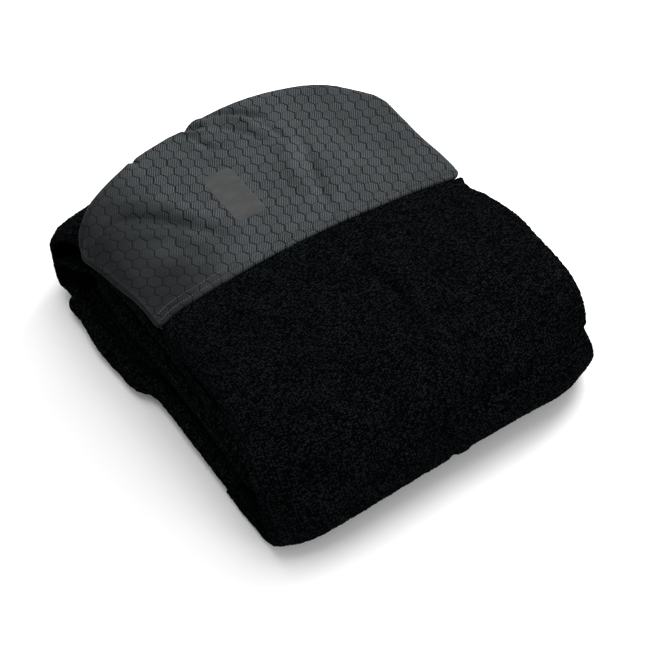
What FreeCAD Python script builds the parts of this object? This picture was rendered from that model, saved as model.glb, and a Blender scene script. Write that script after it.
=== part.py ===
import FreeCAD, Part
import math
import os

# Hooded changing poncho of terry towelling, folded flat into a bundle.
# Frame: origin at the middle of the bundle's footprint, on the surface it rests on.
# +Z up, +Y towards the hood's crown (rear), -Y towards the tall front fold, +X to the right.
# All sizes in millimetres.

# ---------------------------------------------------------------- driving dimensions
BACK_PLY = 9.0            # loft of the outer (back) body panel, terry pile both sides
FRONT_PLY = 8.0           # loft of the inner (front) body panel
FLAP_PLY = 7.6            # loft of one side flap, folded in over the front panel
GAP = 0.4                 # air between neighbouring plies

FRONT_Y = -211.0          # foremost point of the tall front fold
FRONT_R = 51.0            # outer radius of the front fold: bundle is twice this high there
REAR_Y = 205.0            # rearmost point of the rear fold
REAR_R = 44.0             # outer radius of the rear fold
FRONT_C = FRONT_Y + FRONT_R      # y of the front fold's centre line
REAR_C = REAR_Y - REAR_R         # y of the rear fold's centre line
SPLIT = 0.5               # slit between the two halves of the front fold, at mid height

HEM_Y = -157.0            # front end of the middle section, where the hem turns under
HEM_PLY = 7.5

# z levels
Z_BACK_BOT = (0.0, BACK_PLY)
Z_FRONT_BOT = (Z_BACK_BOT[1] + GAP, Z_BACK_BOT[1] + GAP + FRONT_PLY)
Z_FLAP_BOT = (Z_FRONT_BOT[1] + GAP, Z_FRONT_BOT[1] + GAP + FLAP_PLY)
Z_FLAP_MID = (Z_FLAP_BOT[1] + GAP, Z_FLAP_BOT[1] + GAP + FLAP_PLY)
Z_FRONT_MID = (Z_FLAP_MID[1] + GAP, 52.0)
Z_BACK_MID = (52.4, 72.0)          # in front of the neck seam
Z_BACK_MID_REAR = 2.0 * REAR_R     # behind it the ply climbs to the rear fold's height
Z_FLAP_TOP = (74.0, 84.2)
Z_FRONT_TOP = (84.6, 84.6 + FRONT_PLY)
Z_BACK_TOP = (93.0, 2.0 * FRONT_R)
Z_HOOD_FRONT = (91.0, 94.4)
Z_HOOD_LINING = (94.8, 97.6)
Z_HOOD_BACK = (98.0, 103.6)
Z_TAPE = (94.0, 97.6)
TRIM = 0.6                # height of thread and patch above the hood panel

BAND_Y = 39.0             # the stiff stitched band above the neck seam ends here; the hood
                          # folds up about a line along X at this y

# neck seam: the line across the bundle where the hood joins the back panel
SEAM = [(-156.0, 4.0), (-128.0, 14.0), (-94.0, 17.0), (-56.0, 20.0), (0.0, 22.0),
        (51.0, 19.5), (105.0, 15.5), (147.0, 9.5), (168.0, 5.0)]
SEAM_GAP = 0.6

# crown outline of the hood, from the left end of the seam round to the right end
CROWN = [(-161.0, 67.0), (-167.0, 132.0), (-164.0, 143.0), (-154.0, 153.0), (-131.0, 172.0),
         (-105.0, 185.0), (-75.0, 196.0), (-40.0, 203.0), (0.0, 209.5), (31.0, 211.0),
         (60.0, 209.0), (88.0, 203.0), (114.0, 194.0), (136.0, 181.0), (150.0, 166.0),
         (167.0, 141.0), (169.0, 78.0)]

# blank patch on the hood: plain rounded rectangle
PATCH_C = (-20.0, 104.0)
PATCH_W = 32.0
PATCH_L = 66.0
PATCH_R = 6.0


# ---------------------------------------------------------------- helpers
def vec(x, y, z=0.0):
    return FreeCAD.Vector(float(x), float(y), float(z))


def rounded_wire(pts, radius):
    """Closed wire through straight runs joined by tangent arcs, in the XY plane."""
    n = len(pts)
    tri = []
    for i in range(n):
        a = vec(*pts[i - 1])
        b = vec(*pts[i])
        c = vec(*pts[(i + 1) % n])
        u = a.sub(b)
        w = c.sub(b)
        lu, lw = u.Length, w.Length
        u.normalize()
        w.normalize()
        turn = math.pi - math.acos(max(-1.0, min(1.0, u.dot(w))))
        if turn < 0.01:
            tri.append((b, b, b, 0))
            continue
        r = min(radius, 0.45 * min(lu, lw) / math.tan(turn / 2.0))
        d = r * math.tan(turn / 2.0)
        p = b.add(u.multiply(d))
        q = b.add(w.multiply(d))
        bis = p.add(q).multiply(0.5).sub(b)
        dist = bis.Length
        bis.normalize()
        centre = b.add(FreeCAD.Vector(bis).multiply(r / math.cos(turn / 2.0)))
        mid = centre.sub(FreeCAD.Vector(bis).multiply(r))
        tri.append((p, mid, q, 1))
    edges = []
    for i in range(n):
        p, mid, q, kind = tri[i]
        if kind:
            edges.append(Part.Arc(p, mid, q).toShape())
        nxt = tri[(i + 1) % n][0]
        if q.sub(nxt).Length > 1e-6:
            edges.append(Part.LineSegment(q, nxt).toShape())
    return Part.Wire(edges)


def slab(pts, z, radius=12.0):
    """Flat ply: rounded outline, extruded between the two levels of z."""
    face = Part.Face(rounded_wire(pts, radius))
    s = face.extrude(vec(0, 0, z[1] - z[0]))
    s.translate(vec(0, 0, z[0]))
    return s


def rect(x0, x1, y0, y1):
    return [(x0, y0), (x1, y0), (x1, y1), (x0, y1)]


def box(x0, x1, y0, y1, z0, z1):
    return Part.makeBox(x1 - x0, y1 - y0, z1 - z0, vec(x0, y0, z0))


def arc_turn(cy, cz, r_out, r_in, a0, a1, x0, x1):
    """Part of a tube about a line along X: angles in degrees from +Y towards +Z."""
    def p(r, a):
        return vec(0, cy + r * math.cos(math.radians(a)), cz + r * math.sin(math.radians(a)))
    am = 0.5 * (a0 + a1)
    e1 = Part.Arc(p(r_out, a0), p(r_out, am), p(r_out, a1)).toShape()
    e2 = Part.LineSegment(p(r_out, a1), p(r_in, a1)).toShape()
    e3 = Part.Arc(p(r_in, a1), p(r_in, am), p(r_in, a0)).toShape()
    e4 = Part.LineSegment(p(r_in, a0), p(r_out, a0)).toShape()
    s = Part.Face(Part.Wire([e1, e2, e3, e4])).extrude(vec(x1 - x0, 0, 0))
    s.translate(vec(x0, 0, 0))
    return s


def profile(yz, x0, x1):
    """Closed YZ polygon extruded along X."""
    pts = [vec(0, y, z) for y, z in yz]
    s = Part.Face(Part.makePolygon(pts + [pts[0]])).extrude(vec(x1 - x0, 0, 0))
    s.translate(vec(x0, 0, 0))
    return s


parts = {}

# ---------------------------------------------------------------- lower stack
# Bottom section: the middle third of the garment, back panel on the floor.
FLOOR_LEFT = [(-168, FRONT_C), (-168, 0), (-171, 22), (-176, 40), (-177, 120), (-172, 145), (-168, REAR_C)]
parts["back_panel_bottom_run"] = slab(
    FLOOR_LEFT + [(172, REAR_C), (172, FRONT_C)], Z_BACK_BOT, 8.0)
parts["front_panel_bottom_run"] = slab(
    FLOOR_LEFT + [(172, REAR_C), (172, FRONT_C)], Z_FRONT_BOT, 8.0)

# Side flaps folded in over the front panel: they meet near the centre line. The left
# one's folded edge bulges out towards the rear.
parts["left_side_flap_bottom"] = slab(
    [(-164, -150), (-165, 8), (-176, 28), (-184, 48), (-184, 92), (-180, 132), (-172, 150),
     (-160, 158), (-6, 158), (-6, -150)], Z_FLAP_BOT, 14.0)
parts["right_side_flap_bottom"] = slab(
    [(6, -150), (6, 158), (168, 158), (168, -150)], Z_FLAP_BOT, 14.0)
parts["left_side_flap_middle"] = slab(
    [(-158, -136), (-160, 20), (-172, 50), (-172, 120), (-160, 158), (-8, 158), (-8, -136)],
    Z_FLAP_MID, 14.0)
parts["right_side_flap_middle"] = slab(
    [(8, -136), (8, 158), (166, 158), (166, -136)], Z_FLAP_MID, 14.0)

# Middle section: the hem third of the garment, turned forward over the bottom section.
parts["front_panel_middle_run"] = slab(
    [(-161, HEM_Y + 19.1), (-161, REAR_C), (168, REAR_C), (168, HEM_Y + 19.1)], Z_FRONT_MID, 1.0)
parts["back_panel_middle_run"] = profile(
    [(HEM_Y + 19.1, Z_BACK_MID[0]), (REAR_C, Z_BACK_MID[0]), (REAR_C, Z_BACK_MID_REAR),
     (32, Z_BACK_MID_REAR), (4, Z_BACK_MID[1]), (HEM_Y + 19.1, Z_BACK_MID[1])], -158, 166)

# Hem: the front end of the middle section, turned under on itself.
hem_mid = 0.5 * (Z_FRONT_MID[0] + Z_BACK_MID[1])
hem_r = 0.5 * (Z_BACK_MID[1] - Z_FRONT_MID[0])
parts["bottom_hem"] = arc_turn(HEM_Y + 19.1, hem_mid, hem_r, hem_r - HEM_PLY, 90, 270, -157, 163)

# Rear folds: the two body panels turning up from the bottom to the middle section.
parts["back_panel_rear_turn"] = arc_turn(REAR_C, REAR_R, REAR_R, REAR_R - BACK_PLY, -90, 90, -164, 168)
rf_out = 0.5 * (Z_FRONT_MID[1] - Z_FRONT_BOT[0])
parts["front_panel_rear_turn"] = arc_turn(
    REAR_C, Z_FRONT_BOT[0] + rf_out, rf_out, rf_out - FRONT_PLY, -90, 90, -162, 166)

# Front fold, lower half: both body panels leaving the floor.
a_split = math.degrees(math.asin(0.5 * SPLIT / FRONT_R))
r_f = FRONT_R - BACK_PLY - GAP
parts["back_panel_front_turn_lower"] = arc_turn(
    FRONT_C, FRONT_R, FRONT_R, FRONT_R - BACK_PLY, 180 + a_split, 270, -165, 174)
parts["front_panel_front_turn_lower"] = arc_turn(
    FRONT_C, FRONT_R, r_f, r_f - FRONT_PLY, 180 + a_split, 270, -161, 170)

# ---------------------------------------------------------------- top section
# Front fold, upper half: turns with the top section when it is opened forward.
parts["back_panel_front_turn_upper"] = arc_turn(
    FRONT_C, FRONT_R, FRONT_R, FRONT_R - BACK_PLY, 90, 180 - a_split, -162, 178)
parts["front_panel_front_turn_upper"] = arc_turn(
    FRONT_C, FRONT_R, r_f, r_f - FRONT_PLY, 90, 180 - a_split, -156, 168)

# The visible terry panel, from the front fold to the neck seam.
parts["back_panel_top_run"] = slab(
    SEAM + [(168, -17), (175, -34), (184, -66), (182, -96), (181, -124), (178, FRONT_C),
            (-161, FRONT_C), (-157, -120), (-154, -96), (-156, -52), (-155, -25)],
    Z_BACK_TOP, 8.0)
parts["front_panel_top_run"] = slab(rect(-152, 166, FRONT_C, -6), Z_FRONT_TOP, 2.0)

# Side flaps and sleeves folded in under the shoulders.
parts["left_side_flap_top"] = slab(rect(-148, -7, -150, -78), Z_FLAP_TOP, 10.0)
parts["right_side_flap_top"] = slab(rect(7, 160, -150, -78), Z_FLAP_TOP, 10.0)
parts["left_sleeve"] = slab(rect(-149, -12, -74, 0), Z_FLAP_TOP, 12.0)
parts["right_sleeve"] = slab(rect(12, 160, -74, 0), Z_FLAP_TOP, 12.0)

# Stitched band above the neck seam: hood fabric over the seam allowances, too stiff to
# fold, so it stays with the body when the hood is lifted.
parts["hood_neck_band"] = slab(
    [(x, y + SEAM_GAP) for x, y in SEAM][::-1] + [(-158.5, BAND_Y), (169.0, BAND_Y)],
    Z_HOOD_BACK, 2.0)

# Tape over the neck seam's allowance, and the care label sewn under it.
parts["neck_seam_tape"] = slab(
    [(x, y + 14.0) for x, y in SEAM[1:-1]] + [(x, y + 2.0) for x, y in SEAM[1:-1]][::-1],
    Z_TAPE, 1.0)
parts["care_label"] = box(-17, 17, 24, 38, Z_TAPE[0] - 1.0, Z_TAPE[0])


def stitch_row(offset, width=1.2, inset_x=4.0):
    line = [(x, y + offset) for x, y in SEAM[1:-1]]
    line = [(SEAM[0][0] + inset_x, SEAM[0][1] + offset + 1.0)] + line + \
           [(SEAM[-1][0] - inset_x, SEAM[-1][1] + offset + 0.6)]
    outline = line + [(x, y + width) for x, y in line][::-1]
    return slab(outline, (Z_HOOD_BACK[1], Z_HOOD_BACK[1] + TRIM), 0.5)


# Two rows of topstitching that hold the band down.
parts["neck_topstitch"] = Part.makeCompound([stitch_row(5.0), stitch_row(11.0)])

# ---------------------------------------------------------------- hood
hood_pts = [(169.0, BAND_Y + SEAM_GAP), (-158.5, BAND_Y + SEAM_GAP)] + CROWN
parts["hood_back_panel"] = slab(hood_pts, Z_HOOD_BACK, 40.0)


def inset(pts, cx, cy, k):
    return [(cx + (x - cx) * k, cy + (y - cy) * k) for x, y in pts]


INNER = inset(CROWN, 0.0, 60.0, 0.965)
LEFT_END, RIGHT_END = (-151.0, 44.0), (160.0, 44.0)
parts["hood_lining"] = slab([RIGHT_END, LEFT_END] + INNER, Z_HOOD_LINING, 40.0)

# Front of the hood, underneath: a panel round the crown, hemmed along the face opening.
FACE_Y = 96.0
front_pts = [(150.0, FACE_Y), (-148.0, FACE_Y)] + [p for p in inset(CROWN, 0.0, 60.0, 0.955) if p[1] > FACE_Y + 10]
parts["hood_front_panel"] = slab(front_pts, Z_HOOD_FRONT, 30.0)
parts["face_opening_hem"] = slab(rect(-147, 149, FACE_Y - 14, FACE_Y - GAP), Z_HOOD_FRONT, 3.0)

# Trim: a blank patch.
px, py = PATCH_C
parts["blank_patch"] = slab(
    rect(px - PATCH_W / 2, px + PATCH_W / 2, py - PATCH_L / 2, py + PATCH_L / 2),
    (Z_HOOD_BACK[1], Z_HOOD_BACK[1] + TRIM), PATCH_R)


# ---------------------------------------------------------------- output
os.makedirs("parts", exist_ok=True)
total = None
vol = 0.0
for name, shape in parts.items():
    solids = shape.Solids
    assert solids and all(s.isValid() for s in solids), name
    vol += sum(s.Volume for s in solids)
    shape.exportStep(os.path.join("parts", name + ".step"))
    bb = shape.BoundBox
    if total is None:
        total = FreeCAD.BoundBox(bb)
    else:
        total.add(bb)
print("nodes", len(parts))
print("box x %.2f..%.2f y %.2f..%.2f z %.2f..%.2f" % (
    total.XMin, total.XMax, total.YMin, total.YMax, total.ZMin, total.ZMax))
print("volume litres %.2f" % (vol / 1e6))
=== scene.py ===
"""Folded hooded changing poncho: black terry body, dark grey honeycomb-embossed hood panel."""
import math

import bpy
import numpy as np
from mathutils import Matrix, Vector


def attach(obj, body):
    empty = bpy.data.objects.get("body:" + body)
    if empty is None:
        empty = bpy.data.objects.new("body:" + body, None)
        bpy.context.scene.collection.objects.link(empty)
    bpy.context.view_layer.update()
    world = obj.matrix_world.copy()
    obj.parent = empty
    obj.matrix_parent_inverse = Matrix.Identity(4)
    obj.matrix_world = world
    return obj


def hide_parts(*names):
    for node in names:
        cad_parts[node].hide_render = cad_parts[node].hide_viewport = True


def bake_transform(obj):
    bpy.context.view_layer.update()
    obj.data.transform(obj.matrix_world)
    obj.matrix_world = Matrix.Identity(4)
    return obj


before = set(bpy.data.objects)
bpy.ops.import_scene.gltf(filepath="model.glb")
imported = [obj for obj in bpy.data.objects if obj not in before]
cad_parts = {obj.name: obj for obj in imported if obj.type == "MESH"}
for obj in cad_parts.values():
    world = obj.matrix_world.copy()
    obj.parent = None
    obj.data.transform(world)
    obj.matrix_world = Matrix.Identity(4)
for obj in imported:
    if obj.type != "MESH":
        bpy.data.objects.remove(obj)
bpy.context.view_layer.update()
MM = 0.001
PI = math.pi


# ------------------------------------------------------------------ numeric helpers
def vnoise(x, y, size, seed):
    """Smooth value noise in -1..1 with cells of the given size."""
    rs = np.random.RandomState(seed)
    n = 128
    g = rs.uniform(-1, 1, (n, n))
    px, py = np.asarray(x, float) / size + 1000.0, np.asarray(y, float) / size + 1000.0
    ix, iy = np.floor(px).astype(int), np.floor(py).astype(int)
    fx, fy = px - ix, py - iy
    fx = fx * fx * fx * (fx * (fx * 6 - 15) + 10)
    fy = fy * fy * fy * (fy * (fy * 6 - 15) + 10)
    a, b = g[ix % n, iy % n], g[(ix + 1) % n, iy % n]
    c, d = g[ix % n, (iy + 1) % n], g[(ix + 1) % n, (iy + 1) % n]
    return (a * (1 - fx) + b * fx) * (1 - fy) + (c * (1 - fx) + d * fx) * fy


def sstep(a, b, x):
    t = np.clip((np.asarray(x, float) - a) / (b - a), 0, 1)
    return t * t * (3 - 2 * t)


def bump(x, c, w):
    return np.exp(-((np.asarray(x, float) - c) / w) ** 2)


def spline(pts, step=1.0):
    """Smooth curve through points (centripetal Catmull-Rom), resampled evenly by length."""
    p = np.asarray(pts, float)
    p = np.vstack([2 * p[0] - p[1], p, 2 * p[-1] - p[-2]])
    out = []
    for i in range(1, len(p) - 2):
        p0, p1, p2, p3 = p[i - 1:i + 3]
        t0 = 0.0
        t1 = t0 + max(np.linalg.norm(p1 - p0), 1e-6) ** 0.5
        t2 = t1 + max(np.linalg.norm(p2 - p1), 1e-6) ** 0.5
        t3 = t2 + max(np.linalg.norm(p3 - p2), 1e-6) ** 0.5
        for t in np.linspace(t1, t2, 24, endpoint=False):
            a1 = (t1 - t) / (t1 - t0) * p0 + (t - t0) / (t1 - t0) * p1
            a2 = (t2 - t) / (t2 - t1) * p1 + (t - t1) / (t2 - t1) * p2
            a3 = (t3 - t) / (t3 - t2) * p2 + (t - t2) / (t3 - t2) * p3
            b1 = (t2 - t) / (t2 - t0) * a1 + (t - t0) / (t2 - t0) * a2
            b2 = (t3 - t) / (t3 - t1) * a2 + (t - t1) / (t3 - t1) * a3
            out.append((t2 - t) / (t2 - t1) * b1 + (t - t1) / (t2 - t1) * b2)
    out.append(p[-2])
    out = np.array(out)
    s = np.concatenate([[0], np.cumsum(np.linalg.norm(np.diff(out, axis=0), axis=1))])
    n = max(2, int(round(s[-1] / step)) + 1)
    q = np.linspace(0, s[-1], n)
    return np.stack([np.interp(q, s, out[:, k]) for k in range(out.shape[1])], 1)


def resample(p, n):
    s = np.concatenate([[0], np.cumsum(np.linalg.norm(np.diff(p, axis=0), axis=1))])
    q = np.linspace(0, s[-1], n)
    return np.stack([np.interp(q, s, p[:, k]) for k in range(p.shape[1])], 1)


def offset_curve(p, d):
    """Curve moved by d to the left of its direction."""
    t = np.gradient(p, axis=0)
    t /= np.linalg.norm(t, axis=1)[:, None] + 1e-12
    n = np.stack([-t[:, 1], t[:, 0]], 1)
    return p + n * d


def smooth_curve(p, k):
    q = p.copy()
    for _ in range(k):
        q[1:-1] = 0.25 * q[:-2] + 0.5 * q[1:-1] + 0.25 * q[2:]
    return q


def zipper(a, b):
    """Triangles between two vertex chains that run the same way."""
    tris = []
    i = j = 0
    na, nb = len(a) - 1, len(b) - 1
    while i < na or j < nb:
        if j >= nb or (i < na and (i + 1) / na <= (j + 1) / nb):
            tris.append((a[i], a[i + 1], b[j]))
            i += 1
        else:
            tris.append((a[i], b[j + 1], b[j]))
            j += 1
    return tris


def build(name, verts, quads, tris, uv, mat, extra=None):
    """One mesh object from arrays: verts in mm, uv in mm per vertex."""
    verts = np.asarray(verts, float)
    loops = np.concatenate([np.asarray(quads, int).reshape(-1), np.asarray(tris, int).reshape(-1)])
    nq, nt = len(quads), len(tris)
    starts = np.concatenate([np.arange(nq) * 4, nq * 4 + np.arange(nt) * 3])
    totals = np.concatenate([np.full(nq, 4), np.full(nt, 3)])
    me = bpy.data.meshes.new(name)
    me.vertices.add(len(verts))
    me.vertices.foreach_set("co", (verts * MM).astype(np.float32).ravel())
    me.loops.add(len(loops))
    me.loops.foreach_set("vertex_index", loops.astype(np.int32))
    me.polygons.add(nq + nt)
    me.polygons.foreach_set("loop_start", starts.astype(np.int32))
    me.polygons.foreach_set("loop_total", totals.astype(np.int32))
    me.update(calc_edges=True)
    me.validate(clean_customdata=False)
    layer = me.uv_layers.new(name="UVMap")
    li = np.empty(len(me.loops), np.int32)
    me.loops.foreach_get("vertex_index", li)
    uvs = (np.asarray(uv, float) * MM)[li]
    layer.data.foreach_set("uv", uvs.astype(np.float32).ravel())
    me.polygons.foreach_set("use_smooth", np.ones(len(me.polygons), bool))
    me.materials.append(mat)
    ob = bpy.data.objects.new(name, me)
    bpy.context.scene.collection.objects.link(ob)
    return ob


def grid_normals(P, closed):
    """Vertex normals of a grid P[j, k]; k wraps round if closed."""
    dj = np.gradient(P, axis=0)
    if closed:
        dk = np.roll(P, -1, 1) - np.roll(P, 1, 1)
    else:
        dk = np.gradient(P, axis=1)
    n = np.cross(dk, dj)
    return n / (np.linalg.norm(n, axis=2)[..., None] + 1e-12)


# ------------------------------------------------------------------ terry pile relief
RIB = 2.9          # pitch of the loop rows, mm


def pile(u, s, seed, step, rib=0.16, loop=0.50, soft=0.42):
    """Height of the pile over the ply: rows of loops, single loops, and trodden patches."""
    rs = np.random.RandomState(seed)
    ribs = np.cos(2 * PI * u / RIB)
    jitter = rs.uniform(-1, 1, u.shape)
    loops = vnoise(u, s, 2.2, seed + 3)
    patch = vnoise(u, s, 11.0, seed + 5) * 0.6 + vnoise(u, s, 27.0, seed + 9) * 0.4
    fade = 1.0 if step < 1.3 else 0.35
    return rib * fade * ribs * (0.75 + 0.35 * loops) + loop * (0.6 * jitter + 0.7 * loops) + soft * patch


# ------------------------------------------------------------------ swept ply
def ply(name, mat, surf, smax, srows, xl, xr, thick, dx, dx_in, seed, ends=("round", "round"),
        edge_n=7, pile_on=1.0, pile_in=0.4, warp=None, s_off=0.0, flip=1.0, bul=1.0, swap=False, r_end=20.0):
    """A ply of cloth as one closed mesh. surf(x, s) gives the mid surface (y, z); the outer
    face is on the left of the direction of s. xl, xr and thick are functions of s."""
    s = np.linspace(0, smax, srows)
    L, R, T = xl(s), xr(s), thick(s)
    # round off the ends by thinning the ply
    for which, at in ((0, s), (1, smax - s)):
        if ends[which] == "round":
            r = np.minimum(T / 2, r_end)
            T = T * np.sqrt(np.clip(1 - (1 - np.minimum(at, r) / r) ** 2, 0.02, 1))
    W = float(np.mean(R - L))
    No = int(round(W / dx))
    Ni = max(6, int(round(W / dx_in)))
    uo = np.linspace(0, 1, No + 1)
    ui = np.linspace(1, 0, Ni + 1)
    fi = np.linspace(0, PI, edge_n + 2)[1:-1]
    cols = []
    E = np.minimum(T, 12.0) / 2
    for u in uo:
        cols.append((L + E + (R - L - 2 * E) * u, T / 2, u, 0))
    for f in fi:
        cols.append((R - E + E * bul * np.sin(f), T / 2 * np.cos(f), 1 + 0.0 * f, f / PI))
    for u in ui:
        cols.append((L + E + (R - L - 2 * E) * u, -T / 2, u, 1))
    for f in fi:
        cols.append((L + E - E * bul * np.sin(f), -T / 2 * np.cos(f), 0.0, 2 - f / PI))
    X = np.stack([c[0] for c in cols], 1)
    O = np.stack([c[1] for c in cols], 1)
    S = np.repeat(s[:, None], X.shape[1], 1)
    y, z = surf(X, S)
    h = 0.4
    y1, z1 = surf(X, np.clip(S + h, 0, smax))
    y0, z0 = surf(X, np.clip(S - h, 0, smax))
    ty, tz = y1 - y0, z1 - z0
    ln = np.sqrt(ty * ty + tz * tz) + 1e-9
    P = np.stack([X, y + flip * (-tz / ln) * O, z + flip * (ty / ln) * O], 2)
    if swap:
        P = P[..., [1, 0, 2]]
    if warp is not None:
        P = warp(P, X, S, O)
    N = grid_normals(P, True)
    # make normals point away from the mid surface
    mid = P.mean(1, keepdims=True)
    k0 = No // 2
    probe = np.stack([np.zeros_like(y), flip * (-tz / ln), flip * (ty / ln)], 2)[:, k0]
    if swap:
        probe = probe[:, [1, 0, 2]]
    if np.mean(np.sum(N[:, k0] * probe, 1)) < 0:
        N = -N
    nring = X.shape[1]
    kk = np.arange(nring)
    inner = (kk > No + edge_n) & (kk <= No + edge_n + Ni + 1)
    U = np.empty(nring)
    acc = [0.0]
    for k in range(1, nring):
        step = float(np.mean(np.sqrt((X[:, k] - X[:, k - 1]) ** 2 + (O[:, k] - O[:, k - 1]) ** 2)))
        acc.append(acc[-1] + step)
    U = np.array(acc) - (W / 2)
    UU = np.repeat(U[None, :], len(s), 0)
    hgt = pile(UU, S + s_off, seed, dx)
    gain = np.where(inner, pile_in, pile_on)
    fade = np.ones_like(s)
    for which, at in ((0, s), (1, smax - s)):
        if ends[which] == "cut":
            fade = fade * 1.0
    P = P + N * (hgt * gain[None, :] * fade[:, None])[..., None]
    P[..., 2] = np.maximum(P[..., 2], 0.0)
    nr = len(s)
    idx = np.arange(nr * nring).reshape(nr, nring)
    a = idx[:-1, :]
    b = np.roll(idx, -1, 1)[:-1, :]
    c = np.roll(idx, -1, 1)[1:, :]
    d = idx[1:, :]
    quads = np.stack([a, b, c, d], 2).reshape(-1, 4)
    tris = []
    for row, rev in ((0, False), (nr - 1, True)):
        half = edge_n // 2
        left = nring - 1 - half
        right = No + 1 + half
        outer = [idx[row, k % nring] for k in range(left - nring, right + 1)]
        innerc = [idx[row, k] for k in range(right, left + 1)][::-1]
        t = zipper(outer, innerc)
        t = [q for q in t if len(set(q)) == 3]
        tris += [q[::-1] for q in t] if rev else t
    # consistent facing: the outer side's normal must follow N
    q = quads[(nr // 2) * nring + k0]
    V = P.reshape(-1, 3)
    fn = np.cross(V[q[1]] - V[q[0]], V[q[2]] - V[q[0]])
    if fn @ N.reshape(-1, 3)[q[0]] < 0:
        quads = quads[:, ::-1]
    else:
        tris = [t[::-1] for t in tris]
    uv = np.stack([UU, S + s_off], 2).reshape(-1, 2)
    ob = build(name, V, quads, tris, uv, mat)
    area = float(W * smax * 1e-6)
    return ob, (W * MM, smax * MM, area)


# ------------------------------------------------------------------ flat ply (pillow slab)
def edge_steps(w, r, step):
    n = 6
    a = [r * (1 - math.cos(PI / 2 * k / n)) for k in range(n)]
    m = max(2, int(round((w - 2 * r) / step)))
    mid = list(np.linspace(r, w - r, m + 1))
    return np.array(a + mid + [w - q for q in a[::-1]])


def slab(name, mat, W, L, to_xy, top, bot, step, r=4.0, corner=8.0, seed=1, relief=None, coarse=2,
         uv_of=None, relief_bot=None, up=None):
    """Closed flat ply: a W x L rectangle with rounded corners, mapped to the plan by to_xy(u, v),
    lying between heights bot(x, y) and top(x, y), its edges rounded to the middle."""
    def make(stp):
        u = edge_steps(W, r, stp)
        v = edge_steps(L, r, stp)
        U, V = np.meshgrid(u, v, indexing="xy")
        return U, V

    def height(U, V):
        du = np.minimum(U, W - U)
        dv = np.minimum(V, L - V)
        fu = np.sqrt(np.clip(1 - (1 - np.minimum(du, r) / r) ** 2, 0, 1))
        fv = np.sqrt(np.clip(1 - (1 - np.minimum(dv, r) / r) ** 2, 0, 1))
        return fu * fv

    def plan(U, V):
        R = corner
        cu, cv = np.where(U < W / 2, R - U, U - (W - R)), np.where(V < L / 2, R - V, V - (L - R))
        on = (cu > 0) & (cv > 0)
        a, b = np.clip(cu, 0, R) / R, np.clip(cv, 0, R) / R
        a2, b2 = a * np.sqrt(1 - b * b / 2), b * np.sqrt(1 - a * a / 2)
        nu = np.where(U < W / 2, R - a2 * R, W - R + a2 * R)
        nv = np.where(V < L / 2, R - b2 * R, L - R + b2 * R)
        U2 = np.where(on, nu, U)
        V2 = np.where(on, nv, V)
        return to_xy(U2, V2) + (U2, V2)

    faces_q, faces_t, verts, uvs = [], [], [], []
    U, V = make(step)
    Uc, Vc = make(step * coarse)
    F = height(U, V)
    x, y, u2, v2 = plan(U, V)
    zt, zb = top(x, y), bot(x, y)
    zm = 0.5 * (zt + zb)
    z = zm + F * (zt - zm)
    if relief is not None:
        z = z + relief(x, y, u2, v2) * sstep(0.0, 1.0, F)
    Pt = np.stack([x, y, z], 2)
    Fc = height(Uc, Vc)
    xc, yc, u2c, v2c = plan(Uc, Vc)
    ztc, zbc = top(xc, yc), bot(xc, yc)
    zmc = 0.5 * (ztc + zbc)
    zc = zmc + Fc * (zbc - zmc)
    if relief_bot is not None:
        zc = zc - relief_bot(xc, yc, u2c, v2c) * sstep(0, 1, Fc)
    Pb = np.stack([xc, yc, zc], 2)
    nv_, nu_ = U.shape
    it = np.arange(nu_ * nv_).reshape(nv_, nu_)
    base = nu_ * nv_
    nvc, nuc = Uc.shape
    ib = base + np.arange(nuc * nvc).reshape(nvc, nuc)
    qt = np.stack([it[:-1, :-1], it[:-1, 1:], it[1:, 1:], it[1:, :-1]], 2).reshape(-1, 4)
    qb = np.stack([ib[:-1, :-1], ib[1:, :-1], ib[1:, 1:], ib[:-1, 1:]], 2).reshape(-1, 4)
    tris = []
    for A, B in ((it[0, :], ib[0, :]), (it[:, -1], ib[:, -1]), (it[-1, ::-1], ib[-1, ::-1]), (it[::-1, 0], ib[::-1, 0])):
        tris += [t[::-1] for t in zipper(list(A), list(B)) if len(set(t)) == 3]
    verts = np.vstack([Pt.reshape(-1, 3), Pb.reshape(-1, 3)])
    if up is not None:
        verts = up(verts)
    if uv_of is None:
        uv = np.vstack([np.stack([u2, v2], 2).reshape(-1, 2), np.stack([u2c, v2c], 2).reshape(-1, 2)])
    else:
        uv = np.vstack([uv_of(x, y).reshape(-1, 2), uv_of(xc, yc).reshape(-1, 2)])
    verts[:, 2] = np.maximum(verts[:, 2], 0.0)
    ob = build(name, verts, np.vstack([qt, qb]), tris, uv, mat)
    # join the rim of the top to the rim of the underside where they meet
    import bmesh
    bm = bmesh.new()
    bm.from_mesh(ob.data)
    bmesh.ops.remove_doubles(bm, verts=bm.verts, dist=2e-6)
    bmesh.ops.dissolve_degenerate(bm, dist=1e-7, edges=bm.edges)
    bmesh.ops.recalc_face_normals(bm, faces=bm.faces)
    for f in bm.faces:
        f.smooth = True
    bm.to_mesh(ob.data)
    bm.free()
    return ob


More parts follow.
